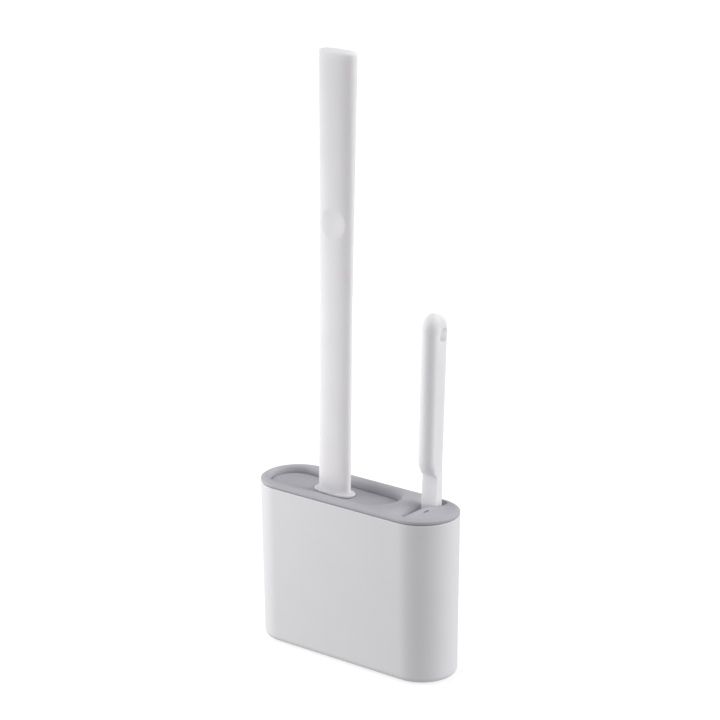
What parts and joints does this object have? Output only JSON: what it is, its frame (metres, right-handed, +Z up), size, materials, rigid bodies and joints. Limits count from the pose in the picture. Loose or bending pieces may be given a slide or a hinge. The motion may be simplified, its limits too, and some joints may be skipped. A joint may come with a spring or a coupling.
{
  "type": "toilet brush holder",
  "caption": "Slim free-standing toilet brush holder with a lift-off cover, a long flat soft-headed brush and a small crevice brush.",
  "frame": {"origin": "middle of the holder's base, on the floor that its pads stand on", "axes": "+X along the holder toward the small brush, -Y the front, +Z up"},
  "size_m": [0.165, 0.052, 0.4267],
  "materials": {
    "white_plastic": "satin moulded, cool white",
    "grey_plastic": "satin moulded, mid grey",
    "soft_rubber": "soft matt, grey",
    "pad_rubber": "matt, pale grey",
    "bristle_nylon": "fine nylon filaments, white"
  },
  "bodies": {
    "holder": {"holder_shell": "white_plastic", "anti_slip_pad_1": "pad_rubber", "anti_slip_pad_2": "pad_rubber", "anti_slip_pad_3": "pad_rubber", "anti_slip_pad_4": "pad_rubber"},
    "cover": {"top_cover": "grey_plastic"},
    "long_brush": {"long_brush_handle": "white_plastic", "long_brush_lid": "grey_plastic", "long_brush_spine": "white_plastic", "long_brush_head": "soft_rubber"},
    "small_brush": {"small_brush_handle": "white_plastic", "small_brush_lid": "grey_plastic", "small_brush_tuft_01": "bristle_nylon", "small_brush_tuft_02": "bristle_nylon", "small_brush_tuft_03": "bristle_nylon", "small_brush_tuft_04": "bristle_nylon", "small_brush_tuft_05": "bristle_nylon", "small_brush_tuft_06": "bristle_nylon", "small_brush_tuft_07": "bristle_nylon", "small_brush_tuft_08": "bristle_nylon", "small_brush_tuft_09": "bristle_nylon", "small_brush_tuft_10": "bristle_nylon", "small_brush_tuft_11": "bristle_nylon", "small_brush_tuft_12": "bristle_nylon"}
  },
  "joints": [
    {"name": "cover_lift", "type": "slide", "parent": "holder", "child": "cover", "axis": [0, 0, 1], "range_m": [0, 0.13]},
    {"name": "long_brush_lift", "type": "slide", "parent": "cover", "child": "long_brush", "axis": [0.0201, 0, 0.9998], "range_m": [0, 0.13]},
    {"name": "small_brush_lift", "type": "slide", "parent": "cover", "child": "small_brush", "axis": [0.0401, 0, 0.9992], "range_m": [0, 0.12]}
  ]
}
